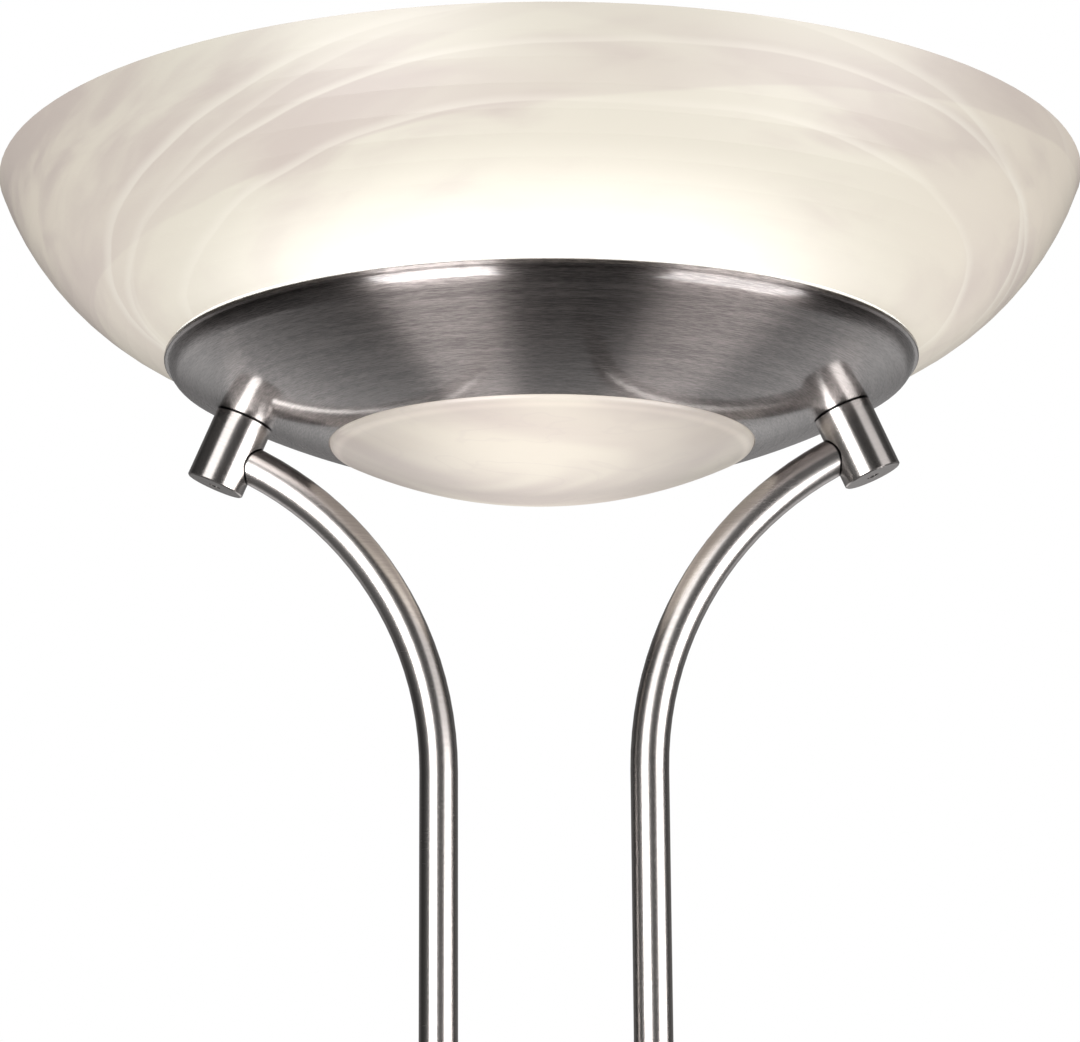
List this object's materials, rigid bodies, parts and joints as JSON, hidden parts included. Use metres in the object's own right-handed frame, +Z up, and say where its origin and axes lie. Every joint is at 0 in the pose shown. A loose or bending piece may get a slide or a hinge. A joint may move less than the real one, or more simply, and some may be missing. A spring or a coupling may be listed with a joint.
{
  "type": "torchiere floor lamp",
  "caption": "Two-pole torchiere floor lamp: alabaster-look glass bowl on a brushed metal dish with a lit lens, dimmer and round weighted base.",
  "frame": {"origin": "on the floor at the centre of the round base, the bottom centre of the whole lamp's box", "axes": "+Z up along the poles, +X from the left pole to the right pole, front with the dimmer knob towards -Y"},
  "size_m": [0.456, 0.456, 1.829],
  "materials": {
    "alabaster_glass": "frosted glass with soft alabaster swirls",
    "silicone": "translucent white silicone",
    "brushed_dish": "fine rings of brushing round the dish, bright nickel",
    "brushed_knuckle": "turned and brushed nickel",
    "brushed_tube": "brushed nickel, grain along the tube",
    "brushed_housing": "die-cast and brushed nickel",
    "brushed_knob": "turned and satin",
    "brushed_base": "rings of brushing round the base",
    "spring_steel": "blued spring strip",
    "plated_steel": "zinc-plated stamping",
    "plated_wire": "bright plated wire",
    "zinc_steel": "zinc plated",
    "black_steel": "black oxide",
    "ceramic": "unglazed steatite ceramic",
    "quartz": "clear quartz",
    "contact_brass": "plain",
    "tungsten": "drawn wire, lit",
    "wire_insulation": "woven glass-fibre sleeve over silicone",
    "moulded_plastic": "moulded, fine spark texture",
    "cast_weight": "as cast, painted",
    "felt": "pressed felt",
    "black_rubber": "moulded"
  },
  "bodies": {
    "stand": {"lens_glass": "alabaster_glass", "bowl_gasket": "silicone", "dish": "brushed_dish", "lens_clips": "spring_steel", "lens_clip_screws": "zinc_steel", "lamp_frame": "plated_steel", "lampholder_left": "ceramic", "lampholder_right": "ceramic", "holder_screws": "zinc_steel", "holder_contacts": "contact_brass", "lamp_tube": "quartz", "lamp_caps": "ceramic", "lamp_filament": "tungsten", "thermal_cutout": "ceramic", "cutout_screws": "zinc_steel", "nipple_left": "zinc_steel", "nipple_right": "zinc_steel", "nipple_washers": "zinc_steel", "nipple_locknuts": "zinc_steel", "knuckle_left": "brushed_knuckle", "knuckle_right": "brushed_knuckle", "knuckle_set_screws": "black_steel", "upper_tube_left": "brushed_tube", "upper_tube_right": "brushed_tube", "middle_tube_left": "brushed_tube", "middle_tube_right": "brushed_tube", "lower_tube_left": "brushed_tube", "lower_tube_right": "brushed_tube", "upper_couplers": "brushed_knuckle", "lower_couplers": "brushed_knuckle", "wire_left": "wire_insulation", "wire_right": "wire_insulation", "dimmer_housing": "brushed_housing", "dimmer_cover": "brushed_housing", "dimmer_cover_screws": "black_steel", "dimmer_module": "moulded_plastic", "dimmer_leads": "wire_insulation", "dimmer_washer": "zinc_steel", "dimmer_nut": "zinc_steel", "housing_set_screws": "black_steel", "base_cover": "brushed_base", "base_weight": "cast_weight", "base_plate": "zinc_steel", "base_plate_screws": "zinc_steel", "felt_pad": "felt", "pole_socket_left": "brushed_knuckle", "pole_socket_right": "brushed_knuckle", "socket_washers": "zinc_steel", "socket_nuts": "zinc_steel", "socket_set_screws": "black_steel", "terminal_block": "moulded_plastic", "cord_bushing": "black_rubber"},
    "bowl": {"glass_bowl": "alabaster_glass"},
    "guard": {"wire_guard": "plated_wire"},
    "knob": {"dimmer_shaft": "zinc_steel", "dimmer_knob": "brushed_knob"}
  },
  "joints": [
    {"name": "bowl_lift", "type": "slide", "parent": "stand", "child": "bowl", "axis": [0, 0, 1], "range_m": [0, 0.15]},
    {"name": "guard_swing", "type": "hinge", "parent": "stand", "child": "guard", "pos_m": [0, -0.024, 1.7577], "axis": [1, 0, 0], "range_deg": [0, 100]},
    {"name": "dimmer_turn", "type": "hinge", "parent": "stand", "child": "knob", "pos_m": [0, -0.0245, 1.06], "axis": [0, 1, 0], "range_deg": [0, 280]}
  ]
}
